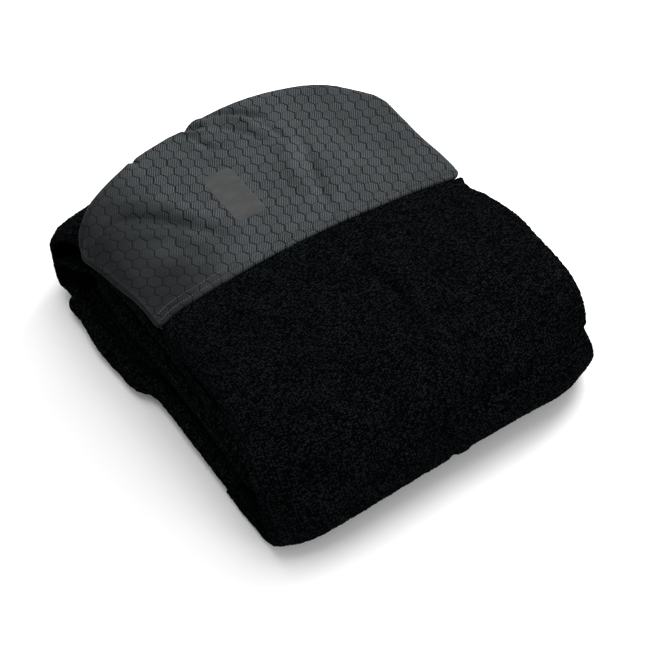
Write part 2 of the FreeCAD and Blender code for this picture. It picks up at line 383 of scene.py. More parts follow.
# ------------------------------------------------------------------ materials
class Nodes:
    def __init__(self, name):
        self.m = bpy.data.materials.new(name)
        self.m.use_nodes = True
        self.t = self.m.node_tree
        self.t.nodes.clear()
        self.out = self.t.nodes.new("ShaderNodeOutputMaterial")
        self.b = self.t.nodes.new("ShaderNodeBsdfPrincipled")
        self.t.links.new(self.b.outputs[0], self.out.inputs[0])

    def put(self, sock, v):
        if isinstance(v, bpy.types.NodeSocket):
            self.t.links.new(v, sock)
        elif v is not None:
            sock.default_value = v

    def math(self, op, a, b=None, c=None, clamp=False):
        n = self.t.nodes.new("ShaderNodeMath")
        n.operation = op
        n.use_clamp = clamp
        for i, v in enumerate((a, b, c)):
            if v is not None:
                self.put(n.inputs[i], v)
        return n.outputs[0]

    def step(self, v, lo, hi, a=0.0, b=1.0):
        n = self.t.nodes.new("ShaderNodeMapRange")
        n.interpolation_type = "SMOOTHSTEP"
        for i, q in enumerate((v, lo, hi, a, b)):
            self.put(n.inputs[i], q)
        return n.outputs[0]

    def mix(self, f, a, b):
        n = self.t.nodes.new("ShaderNodeMix")
        n.data_type = "RGBA"
        self.put(n.inputs[0], f)
        self.put(n.inputs[6], a if isinstance(a, bpy.types.NodeSocket) else (*a, 1))
        self.put(n.inputs[7], b if isinstance(b, bpy.types.NodeSocket) else (*b, 1))
        return n.outputs[2]

    def xyz(self, x, y, z=0.0):
        n = self.t.nodes.new("ShaderNodeCombineXYZ")
        for i, q in enumerate((x, y, z)):
            self.put(n.inputs[i], q)
        return n.outputs[0]

    def uv(self):
        """The two fabric coordinates, in mm."""
        n = self.t.nodes.new("ShaderNodeUVMap")
        n.uv_map = "UVMap"
        s = self.t.nodes.new("ShaderNodeSeparateXYZ")
        self.t.links.new(n.outputs[0], s.inputs[0])
        return self.math("MULTIPLY", s.outputs[0], 1000.0), self.math("MULTIPLY", s.outputs[1], 1000.0)

    def noise(self, vec, scale, detail=2.0, rough=0.5, dist=0.0):
        n = self.t.nodes.new("ShaderNodeTexNoise")
        self.put(n.inputs["Vector"], vec)
        n.inputs["Scale"].default_value = scale
        n.inputs["Detail"].default_value = detail
        n.inputs["Roughness"].default_value = rough
        n.inputs["Distortion"].default_value = dist
        return n.outputs[0]

    def voronoi(self, vec, scale, feature="F1", rand=1.0):
        n = self.t.nodes.new("ShaderNodeTexVoronoi")
        n.feature = feature
        self.put(n.inputs["Vector"], vec)
        n.inputs["Scale"].default_value = scale
        n.inputs["Randomness"].default_value = rand
        return n

    def bump(self, height, strength, dist, normal=None):
        n = self.t.nodes.new("ShaderNodeBump")
        n.inputs["Strength"].default_value = strength
        n.inputs["Distance"].default_value = dist
        self.put(n.inputs["Height"], height)
        if normal is not None:
            self.put(n.inputs["Normal"], normal)
        return n.outputs[0]

    def base(self, color, rough, spec, sheen=0.0, sheen_rough=0.5, tint=(1, 1, 1), normal=None):
        b = self.b.inputs
        self.put(b["Base Color"], color if isinstance(color, bpy.types.NodeSocket) else (*color, 1))
        self.put(b["Roughness"], rough)
        b["Specular IOR Level"].default_value = spec
        b["Sheen Weight"].default_value = sheen
        b["Sheen Roughness"].default_value = sheen_rough
        b["Sheen Tint"].default_value = (*tint, 1)
        if normal is not None:
            self.put(b["Normal"], normal)
        return self.m


def terry_material(name, dark, light, wear=0.0):
    n = Nodes(name)
    u, v = n.uv()
    vec = n.xyz(u, v)
    # rows of loops, only just showing through the pile; in colour the valleys between rows get painted shade and the
    # crests a painted highlight
    warp0 = n.math("MULTIPLY", n.math("SUBTRACT", n.noise(vec, 0.5, 2.0), 0.5), 1.2)
    row = n.math("COSINE", n.math("MULTIPLY", n.math("ADD", n.math("ADD", u, n.math("MULTIPLY", warp0, 0.7)), RIB * 0.5), 2 * PI / RIB))
    # single loops
    warp = warp0
    cell = n.voronoi(n.xyz(n.math("DIVIDE", n.math("ADD", u, n.math("MULTIPLY", warp, 0.7)), RIB), n.math("DIVIDE", v, 1.5)), 1.0, "F1", 0.6)
    loop = n.step(cell.outputs["Distance"], 0.12, 0.62, 1.0, 0.05)
    tone = n.t.nodes.new("ShaderNodeSeparateXYZ")
    n.t.links.new(cell.outputs["Color"], tone.inputs[0])
    fibre = n.noise(vec, 2.3, 3.0, 0.7)
    mott = n.noise(vec, 0.035, 3.0, 0.55)
    t2 = n.math("POWER", tone.outputs[0], 1.3)
    # painted highlight on the loop tops and painted shade in the pits between them
    k = n.math("MULTIPLY", loop, n.math("ADD", 0.42, n.math("MULTIPLY", t2, 0.56)))
    k = n.math("MULTIPLY", k, n.step(fibre, 0.30, 0.66, 0.52, 1.0))
    k = n.math("MULTIPLY", k, n.math("ADD", 0.80, n.math("MULTIPLY", row, -0.34)))
    k = n.math("MULTIPLY", k, n.step(mott, 0.3, 0.7, 0.78, 1.15))
    col = n.mix(k, dark, light)
    # a few pale lint specks
    lint = n.voronoi(vec, 0.042, "F1", 1.0)
    speck = n.step(lint.outputs["Distance"], 0.008, 0.02, 1.0, 0.0)
    lt = n.t.nodes.new("ShaderNodeSeparateXYZ")
    n.t.links.new(lint.outputs["Color"], lt.inputs[0])
    speck = n.math("MULTIPLY", speck, n.math("GREATER_THAN", lt.outputs[0], 0.72))
    col = n.mix(speck, col, (0.06, 0.06, 0.06))
    hgt = n.math("ADD", n.math("MULTIPLY", loop, 0.75), n.math("MULTIPLY", row, 0.07))
    hgt = n.math("ADD", hgt, n.math("MULTIPLY", fibre, 0.7))
    nrm = n.bump(hgt, 1.0, 0.0018)
    rough = n.step(fibre, 0.2, 0.8, 0.88, 1.0)
    return n.base(col, rough, 0.004, normal=nrm)


HEX = 13.0          # honeycomb cell, across its flats, mm
RIB_ANGLE = 56.0    # direction of the fine ribs in the hood fabric, degrees from X
RIB_PITCH = 2.1


def hex_field(x, y):
    """Distance to the nearest cell border, mm."""
    rx, ry = math.sqrt(3) * HEX, HEX
    ax, ay = np.mod(x, rx) - rx / 2, np.mod(y, ry) - ry / 2
    bx, by = np.mod(x + rx / 2, rx) - rx / 2, np.mod(y + ry / 2, ry) - ry / 2
    pick = ax * ax + ay * ay < bx * bx + by * by
    gx, gy = np.where(pick, ax, bx), np.where(pick, ay, by)
    d1 = np.abs(gy)
    d2 = np.abs(gx) * math.sqrt(3) / 2 + np.abs(gy) / 2
    return HEX / 2 - np.maximum(d1, d2)


def honeycomb_material(name):
    n = Nodes(name)
    u, v = n.uv()
    vec = n.xyz(u, v)
    x, y = u, v
    rx, ry = math.sqrt(3) * HEX, HEX

    def near(p, r, shift):
        return n.math("SUBTRACT", n.math("FLOORED_MODULO", n.math("ADD", p, shift), r), r / 2)

    ax, ay = near(x, rx, 0.0), near(y, ry, 0.0)
    bx, by = near(x, rx, rx / 2), near(y, ry, ry / 2)
    da = n.math("ADD", n.math("MULTIPLY", ax, ax), n.math("MULTIPLY", ay, ay))
    db = n.math("ADD", n.math("MULTIPLY", bx, bx), n.math("MULTIPLY", by, by))
    pick = n.math("LESS_THAN", da, db)
    inv = n.math("SUBTRACT", 1.0, pick)
    gx = n.math("ADD", n.math("MULTIPLY", ax, pick), n.math("MULTIPLY", bx, inv))
    gy = n.math("ADD", n.math("MULTIPLY", ay, pick), n.math("MULTIPLY", by, inv))
    agx, agy = n.math("ABSOLUTE", gx), n.math("ABSOLUTE", gy)
    d2 = n.math("ADD", n.math("MULTIPLY", agx, math.sqrt(3) / 2), n.math("MULTIPLY", agy, 0.5))
    e1 = n.math("SUBTRACT", HEX / 2, agy)
    e2 = n.math("SUBTRACT", HEX / 2, d2)
    edge = n.math("MINIMUM", e1, e2)
    cx, cy = n.math("SUBTRACT", x, gx), n.math("SUBTRACT", y, gy)
    cell = n.t.nodes.new("ShaderNodeTexWhiteNoise")
    n.put(cell.inputs["Vector"], n.xyz(n.math("ROUND", cx), n.math("ROUND", cy)))
    cellv = cell.outputs["Value"]
    # as heights these masks make the relief; in colour the slanted grooves get painted shade and the level-side lines a
    # painted highlight
    slant_groove_painted_shade = n.step(e2, 0.14, 0.80, 1.0, 0.0)       # grooves on the four slanted sides
    flat = n.step(e1, 0.08, 0.5, 1.0, 0.0)          # ridge-like lines on the two level sides
    flat = n.math("MULTIPLY", flat, n.math("SUBTRACT", 1.0, slant_groove_painted_shade))
    groove = n.math("MAXIMUM", slant_groove_painted_shade, n.math("MULTIPLY", flat, 0.3))
    # fine ribs inside the cells
    c, s = math.cos(math.radians(RIB_ANGLE)), math.sin(math.radians(RIB_ANGLE))
    jit = n.math("MULTIPLY", n.math("SUBTRACT", n.noise(vec, 0.4, 2.0), 0.5), 0.9)
    t = n.math("ADD", n.math("MULTIPLY", x, -s), n.math("MULTIPLY", y, c))
    t = n.math("ADD", t, jit)
    t = n.math("ADD", t, n.math("MULTIPLY", cellv, 1.3))
    rib = n.math("COSINE", n.math("MULTIPLY", t, 2 * PI / RIB_PITCH))
    rib = n.step(rib, -0.75, 0.55, 0.0, 1.0)
    amp = n.math("ADD", 0.35, n.math("MULTIPLY", n.step(n.noise(vec, 0.09, 3.0, 0.6), 0.3, 0.7), 0.65))
    # painted shade: the colour and its painted rib sheen fade towards the hood's left, the side away from the key
    # light; the smoother fabric there is real
    away = n.math("ADD", n.math("MULTIPLY", u, 0.9), n.math("MULTIPLY", v, 0.18))
    painted_shade_falloff = n.step(n.math("ADD", away, n.math("MULTIPLY", n.math("SUBTRACT", n.noise(vec, 0.022, 2.0), 0.5), 70.0)), -120.0, -18.0, 0.0, 1.0)
    amp = n.math("MULTIPLY", amp, n.math("ADD", 0.22, n.math("MULTIPLY", painted_shade_falloff, 0.78)))
    inside = n.step(edge, 0.15, 0.8, 0.0, 1.0)
    ribk = n.math("MULTIPLY", n.math("MULTIPLY", rib, amp), inside)
    weave = n.noise(n.xyz(n.math("MULTIPLY", n.math("ADD", n.math("MULTIPLY", x, c), n.math("MULTIPLY", y, s)), 0.5), t), 1.6, 2.0, 0.6)
    broad = n.noise(vec, 0.02, 2.0)
    # the rib streaks lighten the colour: a real rib weave with a painted sheen along its ribs
    k = n.math("MULTIPLY", n.math("SUBTRACT", ribk, n.math("MULTIPLY", amp, 0.5)), 0.85)
    k = n.math("ADD", 0.50, k)
    k = n.math("ADD", k, n.math("MULTIPLY", n.math("SUBTRACT", weave, 0.5), 0.5))
    k = n.math("ADD", k, n.math("MULTIPLY", n.math("SUBTRACT", cellv, 0.5), 0.10))
    k = n.math("ADD", k, n.math("MULTIPLY", n.math("SUBTRACT", broad, 0.5), 0.3))
    # painted shade: the hood's right part is darkened under the near key light
    right = n.step(u, 50.0, 175.0, 1.0, 0.74)
    k = n.math("MULTIPLY", k, n.math("MULTIPLY", right, n.math("ADD", 0.22, n.math("MULTIPLY", painted_shade_falloff, 0.78))))
    # painted shade in the slanted grooves
    k = n.math("MULTIPLY", k, n.math("SUBTRACT", 1.0, n.math("MULTIPLY", slant_groove_painted_shade, n.math("ADD", 0.66, n.math("MULTIPLY", painted_shade_falloff, 0.22)))))
    # painted highlight on the level-side lines, turning to painted shade towards the left
    k = n.math("ADD", k, n.math("MULTIPLY", flat, n.math("ADD", -0.12, n.math("MULTIPLY", painted_shade_falloff, 0.32))))
    col = n.mix(n.math("MULTIPLY", k, 1.0, clamp=True), (0.0012, 0.0014, 0.0016), (0.0560, 0.0635, 0.0670))
    hgt = n.math("SUBTRACT", n.math("MULTIPLY", ribk, 0.30), n.math("MULTIPLY", groove, 1.0))
    hgt = n.math("ADD", hgt, n.math("MULTIPLY", weave, 0.16))
    nrm = n.bump(hgt, 0.8, 0.00045)
    rough = n.step(weave, 0.2, 0.8, 0.60, 0.76)
    return n.base(col, rough, 0.06, sheen=0.008, sheen_rough=0.4, tint=(0.9, 0.96, 1.0), normal=nrm)


def smooth_patch_material(name):
    n = Nodes(name)
    u, v = n.uv()
    vec = n.xyz(u, v)
    # painted sheen: stretched light and dark bands across the patch colour; b adds a fine random mottle
    a = n.noise(n.xyz(n.math("MULTIPLY", u, 0.35), v), 0.085, 3.0, 0.6)
    b = n.noise(vec, 1.4, 2.0, 0.6)
    k = n.math("ADD", n.math("MULTIPLY", a, 0.8), n.math("MULTIPLY", b, 0.22))
    col = n.mix(n.step(k, 0.30, 0.72), (0.0250, 0.0255, 0.0257), (0.0390, 0.0395, 0.0398))
    nrm = n.bump(n.math("ADD", n.math("MULTIPLY", a, 1.0), n.math("MULTIPLY", b, 0.12)), 0.5, 0.0009)
    return n.base(col, n.step(b, 0.2, 0.8, 0.55, 0.68), 0.12, sheen=0.01, normal=nrm)


def thread_material(name, a, b):
    n = Nodes(name)
    u, v = n.uv()
    tw = n.math("SINE", n.math("MULTIPLY", n.math("ADD", u, n.math("MULTIPLY", v, 1.2)), 2 * PI / 0.55))
    col = n.mix(n.step(tw, -1.0, 1.0), a, b)
    return n.base(col, 0.6, 0.25, sheen=0.1, normal=n.bump(tw, 0.6, 0.00012))


def tape_material(name, a, b, pitch=0.9):
    n = Nodes(name)
    u, v = n.uv()
    t = n.math("SINE", n.math("MULTIPLY", n.math("ADD", u, v), 2 * PI / pitch))
    w = n.noise(n.xyz(u, v), 1.2, 2.0)
    col = n.mix(n.math("MULTIPLY", n.step(t, -1.0, 1.0), n.math("ADD", 0.6, n.math("MULTIPLY", w, 0.5)), clamp=True), a, b)
    return n.base(col, 0.8, 0.2, sheen=0.08, normal=n.bump(t, 0.6, 0.0002))


def floor_material():
    n = Nodes("studio_floor")
    g = n.t.nodes.new("ShaderNodeTexCoord")
    k = n.noise(g.outputs["Object"], 6.0, 2.0)
    col = n.mix(n.step(k, 0.3, 0.7), (0.86, 0.86, 0.86), (0.87, 0.87, 0.87))
    return n.base(col, 0.9, 0.1)


# dark and light ends of the terry colour; the loop mask puts painted highlight on loop tops and painted shade in the
# pits between them
TERRY = terry_material("terry_towelling", (0.0002, 0.0003, 0.00036), (0.0275, 0.0338, 0.0368))
HONEY = honeycomb_material("honeycomb_fabric")
PATCH = smooth_patch_material("smooth_patch")
THREAD = thread_material("topstitch_thread", (0.02, 0.021, 0.022), (0.05, 0.053, 0.056))
TAPE = tape_material("seam_tape", (0.008, 0.008, 0.009), (0.03, 0.03, 0.032))
LABEL = tape_material("label_ribbon", (0.42, 0.42, 0.42), (0.62, 0.62, 0.61), 0.5)

# ------------------------------------------------------------------ shared outlines
SEAM_X = np.array([-160, -156, -150, -140, -128, -94, -56, 0, 51, 105, 147, 160, 168, 176.0])
SEAM_Y = np.array([1.0, 3.0, 7.0, 11.0, 13.5, 17.0, 20.0, 22.0, 19.5, 15.5, 9.5, 7.0, 5.5, 4.0])


def seam(x):
    return np.interp(x, SEAM_X, SEAM_Y)


TOP = 102.0
M_PROFILE = [(-40, TOP), (-70, 101.7), (-100, 100.2), (-130, 95.8), (-155, 88), (-176, 76), (-191, 61), (-200, 45),
             (-203, 31), (-200, 18), (-191, 6.5), (-178, 1), (-160, 0), (-140, 0), (-120, 0)]
L_PROFILE = [(-40, TOP), (-70, 101.3), (-100, 99), (-125, 90.5), (-150, 75), (-173, 58), (-189, 42), (-196, 28),
             (-195.5, 14), (-187, 4.5), (-172, 0.5), (-150, 0), (-138, 0), (-120, 0)]
RUN = 62.0


def front_surface(inset, start_y=None):
    """The back panel's surface from the neck seam, over the front fold, to the floor."""
    curves = []
    for prof in (L_PROFILE, M_PROFILE):
        p = spline(prof, 1.0)
        q = offset_curve(p, inset)          # the stack is on the left of this direction
        q = smooth_curve(q, 6 + int(inset * 6))
        curves.append(resample(q, 400))
    n = 400

    def f(x, s):
        x, s = np.asarray(x, float), np.asarray(s, float)
        t = np.clip((s - RUN) / FOLD_LEN, 0, 1) * (n - 1)
        yl, zl = np.interp(t, np.arange(n), curves[0][:, 0]), np.interp(t, np.arange(n), curves[0][:, 1])
        ym, zm = np.interp(t, np.arange(n), curves[1][:, 0]), np.interp(t, np.arange(n), curves[1][:, 1])
        w = 1 - sstep(-168, -88, x)
        y, z = ym * (1 - w) + yl * w, zm * (1 - w) + zl * w
        r = sstep(115, 185, x)
        y = y + 9 * r * sstep(-150, -200, y)
        k = np.clip(s / RUN, 0, 1)
        y0 = seam(x) if start_y is None else start_y
        run = s < RUN
        y = np.where(run, y0 + (-40 - y0) * k, y)
        z = np.where(run, TOP - inset, z)
        return y, z
    return f


_m = spline(M_PROFILE, 1.0)
FOLD_LEN = float(np.sum(np.linalg.norm(np.diff(_m, axis=0), axis=1)))
A_MAX = RUN + FOLD_LEN


def keys(pairs):
    a = np.array(pairs, float)
    return lambda s: np.interp(s, a[:, 0], a[:, 1])


# ------------------------------------------------------------------ back panel, front part
A_XL = keys([(0, -157), (15, -158), (40, -157.5), (62, -156.5), (110, -155), (140, -157), (165, -161), (190, -165),
             (215, -168), (240, -169.5), (262, -169), (285, -167), (305, -167), (330, -168), (400, -168)])
A_XR = keys([(0, 170), (10, 168), (22, 167.5), (38, 175), (60, 180), (85, 184), (110, 183), (140, 182), (165, 181),
             (190, 178), (210, 174), (228, 170), (236, 171), (250, 174.5), (264, 178), (280, 179.5), (296, 178), (330, 174),
             (400, 172)])
CREASE = keys([(0, 19), (10, 21), (60, 31), (100, 36), (130, 33), (157, 27), (198, 12), (225, 6), (255, 6), (285, 14)])


def face_move(P, X, S, h):
    """Moves the ply by h along the outside of the bundle: up on the top, forward on the front."""
    w = sstep(118, 215, S)
    a = w * PI / 2
    P[..., 2] += h * np.cos(a)
    P[..., 1] -= h * np.sin(a)
    return P


def a_warp(P, X, S, O):
    live = sstep(0, 30, S) * (1 - sstep(270, 300, S))
    h = 1.5 * vnoise(X, S, 74, 11) + 0.8 * vnoise(X, S, 33, 12) + 0.35 * vnoise(X, S, 15, 13)
    cx = CREASE(S)
    depth = np.interp(S, [0, 20, 60, 95, 125, 155, 185, 215, 250, 280], [0.6, 1.2, 2.2, 3.2, 2.4, 3.4, 2.6, 3.2, 2.8, 2.0])
    wob = 1.5 * vnoise(S, S * 0, 19, 15)
    h = h - depth * bump(X, cx + wob, 3.8) + 0.55 * depth * bump(X, cx + 11, 8) - 0.25 * depth * bump(X, cx - 12, 10)
    # the front fold's lower part bulges past a level groove, right of the crease
    g = np.interp(X, [0, 40, 100, 150, 185], [233, 231, 228, 226, 226])
    on = sstep(4, 55, X)
    h = h - 4.2 * on * bump(S, g, 5.5) + 2.6 * on * bump(S, g + 24, 14)
    P = face_move(P, X, S, h * live)
    # the left edge rolls over a little, unevenly
    P[..., 2] -= 3.4 * (1 - sstep(-160, -138, X)) * (1 - sstep(95, 150, S)) * sstep(-5, 25, S)
    P[..., 2] -= 3.0 * sstep(158, 186, X) * (1 - sstep(120, 170, S)) * sstep(0, 30, S)
    # both lower front corners are rounded off
    low = sstep(200, 250, S)
    P[..., 1] += np.interp(X, [140, 160, 172, 184], [0, 2, 5, 11]) * low
    P[..., 1] += (np.interp(-X, [128, 146, 158, 170], [0, 0.5, 3.5, 10]) - 3.0 * bump(X, -130, 22)) * low
    return P


back_front, flat_a = ply("back_panel_front_part", TERRY, front_surface(4.5), A_MAX, 232, A_XL, A_XR,
                         lambda s: np.full_like(s, 9.0), 0.97, 5.5, 21,
                         ends=("round", "cut"), edge_n=9, warp=a_warp, flip=-1.0, r_end=2.0)
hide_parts("back_panel_top_run", "back_panel_front_turn_upper", "back_panel_front_turn_lower")
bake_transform(back_front)

# ------------------------------------------------------------------ back panel, rest: floor, rear fold, middle, hem
B_OUT = [(-120, 0), (-60, 0), (0, 0), (80, 0), (130, 0), (154, 0.6), (176, 4.5), (191, 14), (200, 28), (204, 44), (202, 60),
         (194, 74), (180, 84), (160, 88), (120, 88.3), (70, 88), (42, 86.5), (22, 81), (6, 75.5), (-14, 72.5), (-60, 72),
         (-115, 71.6), (-134, 70), (-149, 63.5), (-158, 53), (-159, 42), (-151, 31.5), (-137, 26.5), (-110, 26), (-84, 26.4)]
B_TH = 8.8


def path_surface(pts, inset, sm=0):
    p = spline(pts, 1.0)
    q = smooth_curve(offset_curve(p, inset), 10 + sm)
    ln = float(np.sum(np.linalg.norm(np.diff(q, axis=0), axis=1)))
    q = resample(q, 900)
    grid = np.linspace(0, ln, 900)

    def f(x, s):
        return np.interp(s, grid, q[:, 0]), np.interp(s, grid, q[:, 1])
    return f, ln, q, grid


b_surf, B_MAX, b_q, b_s = path_surface(B_OUT, B_TH / 2)


def s_at(q, grid, y, lo, hi):
    """Length along the path where it passes y, between two fractions of the path."""
    n = len(q)
    part = slice(int(lo * n), int(hi * n))
    k = np.argmin(np.abs(q[part, 0] - y)) + part.start
    return grid[k]


S_REAR0, S_REAR1 = s_at(b_q, b_s, 150, 0.2, 0.45), s_at(b_q, b_s, 150, 0.45, 0.65)
S_SEAM, S_HEM = s_at(b_q, b_s, 0, 0.5, 0.8), s_at(b_q, b_s, -150, 0.7, 0.92)
B_XL = keys([(0, -166), (12, -160), (30, -147), (110, -146), (200, -146), (S_REAR0 - 40, -150), (S_REAR0 - 5, -168),
             (S_REAR0 + 25, -174), (S_REAR0 + 60, -177), (S_REAR0 + 85, -176), (S_REAR1 - 22, -168), (S_REAR1, -161),
             (S_REAR1 + 40, -158), (S_SEAM - 40, -156), (S_SEAM, -153), (S_HEM - 60, -152), (S_HEM - 20, -154),
             (S_HEM + 30, -158), (B_MAX, -156)])
B_XR = keys([(0, 173), (12, 168), (30, 152), (200, 152), (S_REAR0 - 40, 156), (S_REAR0 - 5, 168), (S_REAR0 + 25, 172),
             (S_REAR0 + 60, 172), (S_REAR1 - 10, 168), (S_REAR1, 166), (S_SEAM, 164), (S_HEM, 162), (B_MAX, 162)])


def b_warp(P, X, S, O):
    y, z = P[..., 1], P[..., 2]
    free = sstep(6, 22, z)
    rear = sstep(150, 185, y)
    h = 1.8 * vnoise(X, S, 66, 31) + 0.9 * vnoise(X, S, 30, 32)
    P[..., 1] += h * rear * free
    top = sstep(40, 62, z) * (1 - rear)
    h2 = 1.0 * vnoise(X, S, 55, 33) + 0.6 * vnoise(X, S, 24, 34)
    P[..., 2] += np.where((y > -140), h2 * top, 0) - 0.6 * top
    # corners of the rear fold droop
    back = sstep(140, 196, y)
    P[..., 1] -= np.interp(-X, [80, 123, 141, 161, 177, 190], [-1, -1, 2, 8, 22, 36]) * back
    P[..., 1] -= np.interp(X, [100, 140, 160, 176], [0, 4, 9, 18]) * back
    P[..., 2] -= np.interp(-X, [120, 150, 178], [0, 1.5, 8]) * sstep(60, 84, z) * sstep(95, 150, y)
    # the side edges of the middle section are rolled and thick
    roll = 9.5 * sstep(126, 150, np.abs(X)) * sstep(58, 66, z) * (1 - sstep(125, 160, y))
    P[..., 2] -= roll * (0.5 - O / B_TH)
    # edges undulate
    e = sstep(135, 160, np.abs(X))
    P[..., 0] += e * np.sign(X) * (1.6 * vnoise(S, z * 0, 47, 35) + 0.9 * vnoise(S, z * 0, 21, 36))
    P[..., 2] += e * free * 1.2 * vnoise(S, X * 0, 40, 37)
    return P


back_rest, flat_b = ply("back_panel_lower_part", TERRY, b_surf, B_MAX, 372, B_XL, B_XR,
                        lambda s: np.full_like(s, B_TH), 1.94, 4.6, 41, ends=("cut", "round"), edge_n=8,
                        warp=b_warp, flip=-1.0, pile_in=0.8, s_off=A_MAX)
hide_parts("back_panel_bottom_run", "back_panel_rear_turn", "back_panel_middle_run", "bottom_hem")
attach(back_rest, "lower_stack")

# ------------------------------------------------------------------ front panel, inside the back panel
C_XL = keys([(0, -149), (60, -148), (120, -146), (180, -146), (240, -150), (280, -158), (300, -163), (400, -165)])
C_XR = keys([(0, 163), (100, 166), (180, 168), (240, 166), (300, 170), (400, 171)])


def c_warp(P, X, S, O):
    live = sstep(0, 30, S) * (1 - sstep(250, 290, S))
    h = 1.0 * vnoise(X, S, 60, 51) - 0.8
    P = face_move(P, X, S, h * live)
    e = sstep(130, 155, np.abs(X))
    P[..., 0] += e * np.sign(X) * (1.4 * vnoise(S, X * 0, 37, 52))
    P[..., 2] += e * live * 1.0 * vnoise(S, X * 0, 31, 53)
    return P


C_INSET = 9.2 + 4.1
front_front, flat_c = ply("front_panel_front_part", TERRY, front_surface(C_INSET, start_y=-5.0), A_MAX, 150, C_XL, C_XR,
                          lambda s: np.full_like(s, 7.8), 2.4, 5.0, 61, ends=("round", "cut"), edge_n=7,
                          warp=c_warp, flip=-1.0, pile_in=0.9)
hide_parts("front_panel_top_run", "front_panel_front_turn_upper", "front_panel_front_turn_lower")
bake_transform(front_front)

C2_OUT = [(-120, 9.3), (-60, 9.3), (0, 9.3), (80, 9.3), (130, 9.4), (150, 10.2), (168, 14.5), (178, 22), (181.5, 31), (178, 41),
          (168, 49), (152, 52), (120, 52.2), (60, 52), (0, 52), (-60, 52), (-110, 51.6), (-131, 50.5)]
c2_surf, C2_MAX, c2_q, c2_s = path_surface(C2_OUT, 3.9)
D0, D1 = s_at(c2_q, c2_s, 150, 0.2, 0.5), s_at(c2_q, c2_s, 150, 0.5, 0.75)
C2_XL = keys([(0, -164), (120, -165), (200, -166), (D0 - 8, -170), (D0 + 18, -179), (D0 + 38, -178), (D1, -168), (D1 + 25, -148),
              (C2_MAX - 60, -144), (C2_MAX - 12, -146), (C2_MAX, -150)])
C2_XR = keys([(0, 168), (D0, 168), (D1, 160), (D1 + 25, 148), (C2_MAX - 12, 150), (C2_MAX, 154)])


def c2_warp(P, X, S, O):
    y, z = P[..., 1], P[..., 2]
    up = sstep(20, 40, z)
    P[..., 2] += up * (1.4 * vnoise(X, S, 58, 55) - 0.9)
    e = sstep(130, 160, np.abs(X))
    P[..., 0] += e * np.sign(X) * (1.5 * vnoise(S, z * 0, 43, 56) + 0.8 * vnoise(S, z * 0, 19, 57))
    P[..., 2] += e * up * 2.2 * vnoise(S, X * 0, 52, 58)
    return P


front_rest, flat_c2 = ply("front_panel_lower_part", TERRY, c2_surf, C2_MAX, 250, C2_XL, C2_XR,
                          lambda s: np.full_like(s, 7.8), 2.4, 4.8, 71, ends=("cut", "round"), edge_n=7,
                          warp=c2_warp, flip=-1.0, pile_in=0.8, s_off=A_MAX)
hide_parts("front_panel_bottom_run", "front_panel_rear_turn", "front_panel_middle_run")
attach(front_rest, "lower_stack")


# ------------------------------------------------------------------ side flaps and sleeves, folded in
def outline_column(x_keys_l, x_keys_r):
    """to_xy for a flat ply whose side edges follow x as a function of y."""
    yl = np.array(x_keys_l, float)
    yr = np.array(x_keys_r, float)

    def make(W, L, y0):
        def f(U, V):
            y = y0 + V
            a = np.interp(y, yl[:, 0], yl[:, 1])
            b = np.interp(y, yr[:, 0], yr[:, 1])
            return a + (b - a) * U / W, y
        return f
    return make


def join(objs, name):
    bpy.ops.object.select_all(action="DESELECT")
    for o in objs:
        o.select_set(True)
    bpy.context.view_layer.objects.active = objs[0]
    bpy.ops.object.join()
    objs[0].name = name
    return objs[0]


def flap(name, left, right, y0, y1, z0, z1, node, seed, waves, body="lower_stack", extra=None, step=2.4):
    """Side flap folded in: two plies of terry from z0 to z1."""
    W = float(np.mean([q[1] for q in right]) - np.mean([q[1] for q in left]))
    L = y1 - y0
    mid = 0.5 * (z0 + z1)
    made = []
    for i, (a, b, inset) in enumerate(((z0, mid - 0.1, 0.0), (mid + 0.1, z1, 2.0))):
        lf = [(q[0], q[1] + inset * (1 if i else 0)) for q in left]
        col = outline_column(lf, right)(W, L, y0)

        def wavy(x, y, k=i):
            # the free edge undulates; the middle stays pressed flat
            e = sstep(40, 60, np.abs(x - 0.5 * (left[0][1] + right[0][1])) )
            return waves * e * vnoise(x * 0.2, y, 38, seed + 3)

        def top(x, y, b=b):
            return b + 0 * x + wavy(x, y)

        def bot(x, y, a=a):
            return a + 0 * x + wavy(x, y)

        def rel(x, y, u, v, i=i):
            return 0.8 * pile(u, v, seed + 7 * i, step) - 0.45

        def edgy(x, y):
            return x, y

        def to(U, V, col=col, i=i):
            x, y = col(U, V)
            return x + 1.6 * vnoise(y, x * 0.02, 31, seed + 5 + i) * sstep(20, 60, np.abs(x)), y
        made.append(slab(f"{name}_{i}", TERRY, W, L, to, top, bot, step, r=min(4.0, (b - a) / 2 + 1.6), corner=9,
                         seed=seed + i, relief=rel, coarse=1, relief_bot=rel))
    ob = join(made, name)
    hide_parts(*([node] if isinstance(node, str) else node))
    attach(ob, body)
    return ob, W, L


LEFT_LOW = [(-150, -160), (-100, -166), (-40, -172), (0, -176), (23, -180), (60, -182.5), (110, -183), (140, -181), (152, -176)]
RIGHT_LOW = [(-150, 172), (0, 174), (100, 172), (152, 166)]
LEFT_MID = [(-60, -150), (-40, -153), (0, -156), (60, -159), (92, -160), (130, -158), (152, -154)]
RIGHT_MID = [(-60, 158), (60, 162), (152, 158)]
LEFT_TOP = [(-152, -144), (-100, -147), (-60, -149), (0, -150)]
RIGHT_TOP = [(-152, 152), (-60, 159), (0, 160)]


def inner(x):
    return [(-200, x), (200, x)]


